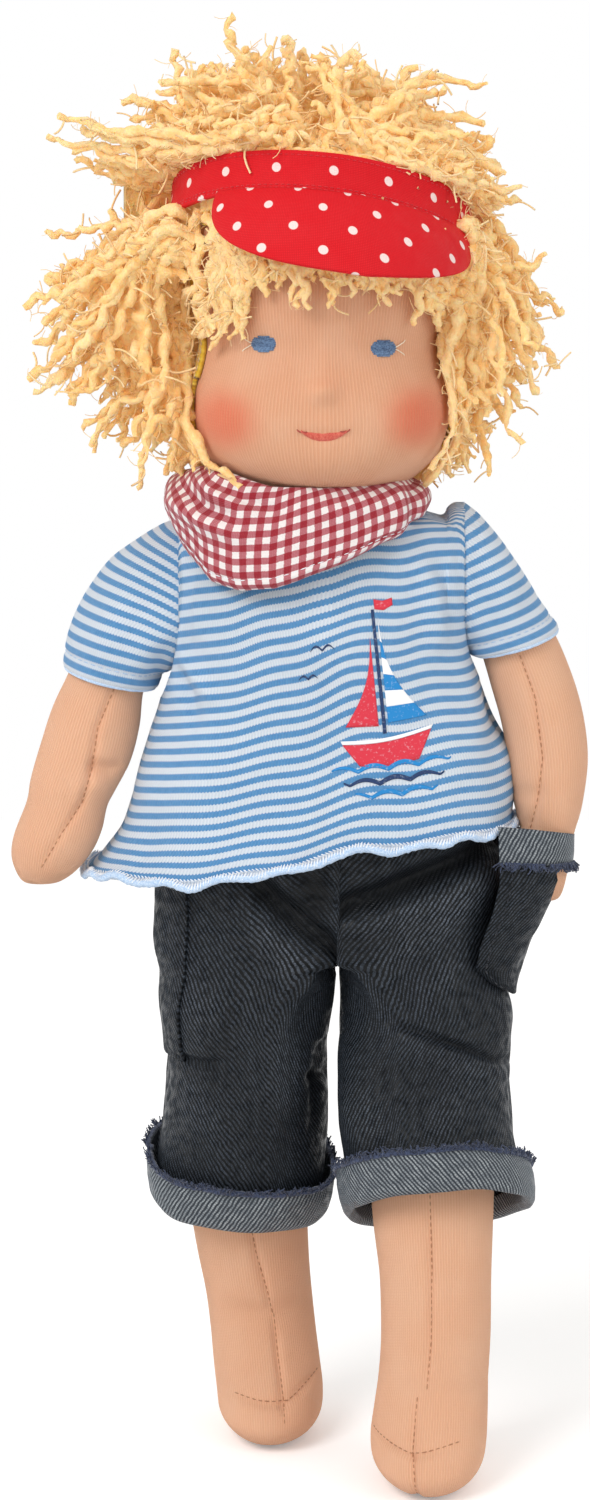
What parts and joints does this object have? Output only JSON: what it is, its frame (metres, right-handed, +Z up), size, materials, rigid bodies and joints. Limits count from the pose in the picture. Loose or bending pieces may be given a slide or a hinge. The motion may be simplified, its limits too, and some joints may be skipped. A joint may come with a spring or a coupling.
{
  "type": "cloth doll",
  "caption": "Soft cloth doll with wild yarn hair, sun visor, neckerchief, striped T-shirt and turned-up denim trousers, standing in mid stride with a hand in its pocket",
  "frame": {"origin": "middle of the footprint of the whole doll on the floor, at the height of its two flat soles", "axes": "+Z up through the head, -Y the way the doll faces, +X to the doll's own left"},
  "size_m": [0.1778, 0.1345, 0.4454],
  "materials": {
    "jersey_skin": "fine vertical knit jersey over wool stuffing",
    "neck_thread": "twisted tying thread",
    "striped_jersey": "single jersey in narrow blue and white stripes",
    "gingham": "woven red and white check",
    "denim": "dark denim, diagonal twill",
    "denim_reverse": "back of the denim, grey twill",
    "waist_elastic": "woven elastic",
    "blue_thread": "satin stitch",
    "red_thread": "satin stitch",
    "crochet_cap": "crocheted yarn",
    "yarn_hair": "loopy mohair yarn",
    "dotted_cotton": "plain weave cotton with small white dots"
  },
  "bodies": {
    "torso": {"body": "jersey_skin", "neck_thread": "neck_thread", "shirt_body": "striped_jersey", "shirt_neck_rib": "striped_jersey", "kerchief": "gingham", "kerchief_knot": "gingham", "trouser_seat": "denim", "waist_elastic": "waist_elastic"},
    "head": {"head": "jersey_skin", "eye_left": "blue_thread", "eye_right": "blue_thread", "mouth": "red_thread", "wig_cap": "crochet_cap", "hair_crown": "yarn_hair", "hair_left": "yarn_hair", "hair_right": "yarn_hair", "hair_back": "yarn_hair", "hair_under_band": "yarn_hair", "hair_fringe": "yarn_hair", "visor_band": "dotted_cotton", "visor_brim": "dotted_cotton", "visor_elastic": "dotted_cotton"},
    "arm_left": {"arm_left": "jersey_skin", "sleeve_left": "striped_jersey"},
    "arm_right": {"arm_right": "jersey_skin", "sleeve_right": "striped_jersey"},
    "leg_left": {"leg_left": "jersey_skin", "trouser_leg_left": "denim", "turn_up_left": "denim_reverse", "pocket_left": "denim", "pocket_left_foot": "denim", "pocket_band_left": "denim_reverse"},
    "leg_right": {"leg_right": "jersey_skin", "trouser_leg_right": "denim", "turn_up_right": "denim_reverse", "pocket_right": "denim", "pocket_band_right": "denim_reverse"}
  },
  "joints": [
    {"name": "head_turn", "type": "hinge", "parent": "torso", "child": "head", "pos_m": [0.005, 0.007, 0.301], "axis": [0, 0, 1], "range_deg": [-60, 60]},
    {"name": "shoulder_left", "type": "hinge", "parent": "torso", "child": "arm_left", "pos_m": [0.049, 0.006, 0.273], "axis": [-1, 0, 0], "range_deg": [-50, 100], "deforming": ["pocket_left", "pocket_band_left"]},
    {"name": "shoulder_right", "type": "hinge", "parent": "torso", "child": "arm_right", "pos_m": [-0.039, 0.006, 0.268], "axis": [-1, 0, 0], "range_deg": [-50, 100]},
    {"name": "hip_left", "type": "hinge", "parent": "torso", "child": "leg_left", "pos_m": [0.034, 0.004, 0.156], "axis": [-1, 0, 0], "range_deg": [-35, 75], "deforming": ["pocket_left_foot"]},
    {"name": "hip_right", "type": "hinge", "parent": "torso", "child": "leg_right", "pos_m": [-0.014, 0.004, 0.156], "axis": [-1, 0, 0], "range_deg": [-20, 90]}
  ]
}
